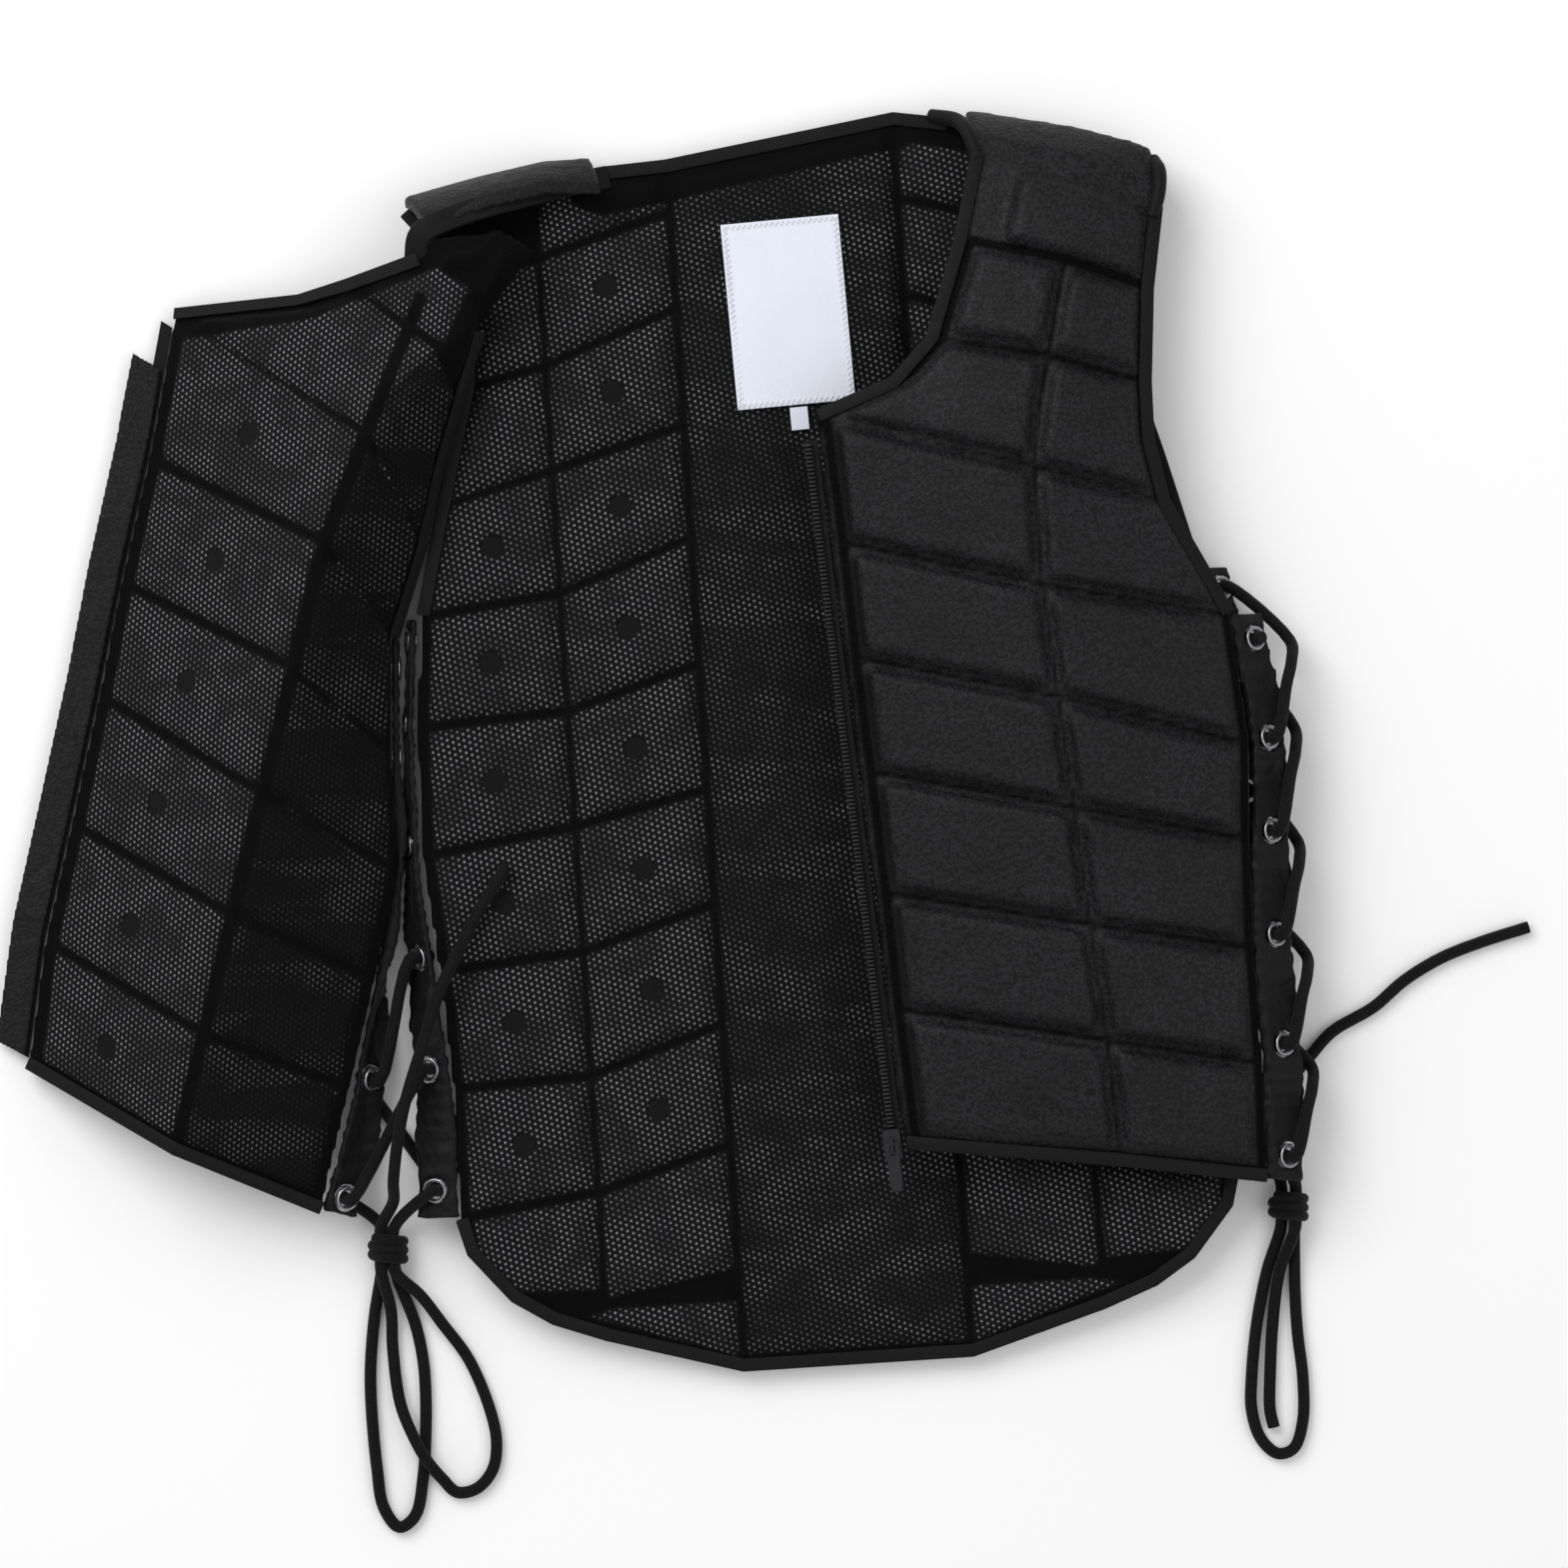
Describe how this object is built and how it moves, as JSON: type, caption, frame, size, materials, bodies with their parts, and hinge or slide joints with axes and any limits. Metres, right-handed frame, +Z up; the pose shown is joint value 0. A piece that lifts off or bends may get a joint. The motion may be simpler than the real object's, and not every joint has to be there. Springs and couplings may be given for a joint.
{
  "type": "equestrian body protector",
  "caption": "Child's padded riding vest lying open on its back: segmented foam back and fronts, front zip, laced eyelet sides, bound edges.",
  "frame": {"origin": "middle of the object's footprint, without its laces, on the surface that it lies on", "axes": "+Z up from the surface, +Y to the neck, +X to the wearer's left side"},
  "size_m": [0.6133, 0.5675, 0.06],
  "materials": {
    "satin": "charcoal satin knit",
    "lining": "black mesh lining over pale foam",
    "tape": "smooth binding tape",
    "lace": "tubular knitted lace",
    "nickel": "nickel",
    "label": "white woven label"
  },
  "bodies": {
    "vest": {"armhole_binding_back_left": "tape", "armhole_binding_back_right": "tape", "armhole_binding_left": "tape", "armhole_binding_right": "tape", "back_panel": "lining", "care_label": "label", "eyelet_back_left_1": "nickel", "eyelet_back_left_2": "nickel", "eyelet_back_left_3": "nickel", "eyelet_back_left_4": "nickel", "eyelet_back_left_5": "nickel", "eyelet_back_left_6": "nickel", "eyelet_back_right_1": "nickel", "eyelet_back_right_2": "nickel", "eyelet_back_right_3": "nickel", "eyelet_back_right_4": "nickel", "eyelet_back_right_5": "nickel", "eyelet_back_right_6": "nickel", "eyelet_front_left_1": "nickel", "eyelet_front_left_2": "nickel", "eyelet_front_left_3": "nickel", "eyelet_front_left_4": "nickel", "eyelet_front_left_5": "nickel", "eyelet_front_left_6": "nickel", "eyelet_front_right_1": "nickel", "eyelet_front_right_2": "nickel", "eyelet_front_right_3": "nickel", "eyelet_front_right_4": "nickel", "eyelet_front_right_5": "nickel", "eyelet_front_right_6": "nickel", "front_panel_left": "satin", "front_panel_right": "lining", "hem_binding_back": "tape", "hem_binding_left": "tape", "hem_binding_right": "tape", "lace_knot_left": "lace", "lace_knot_right": "lace", "lace_left_a": "lace", "lace_left_b": "lace", "lace_right_a": "lace", "lace_right_b": "lace", "lace_tail_left": "lace", "lace_tail_right": "lace", "neck_binding_back": "tape", "neck_binding_left": "tape", "neck_binding_right": "tape", "placket_flap": "lining", "shoulder_yoke_left": "satin", "shoulder_yoke_right": "satin", "side_strip_back_left": "satin", "side_strip_back_right": "satin", "side_strip_front_left": "satin", "side_strip_front_right": "satin", "size_tag": "label", "zipper_coil_left": "tape", "zipper_coil_right": "tape", "zipper_tape_left": "tape", "zipper_tape_right": "tape"},
    "zip_slider": {"zipper_slider": "nickel"},
    "zip_pull": {"zipper_pull": "nickel"}
  },
  "joints": [
    {"name": "zip_slide", "type": "slide", "parent": "vest", "child": "zip_slider", "axis": [-0.121, 0.9925, 0.0189], "range_m": [0, 0.272]},
    {"name": "pull_hinge", "type": "hinge", "parent": "zip_slider", "child": "zip_pull", "pos_m": [0.09684, -0.15862, 0.03795], "axis": [-0.9867, -0.1182, -0.1112], "range_deg": [0, 170]}
  ]
}
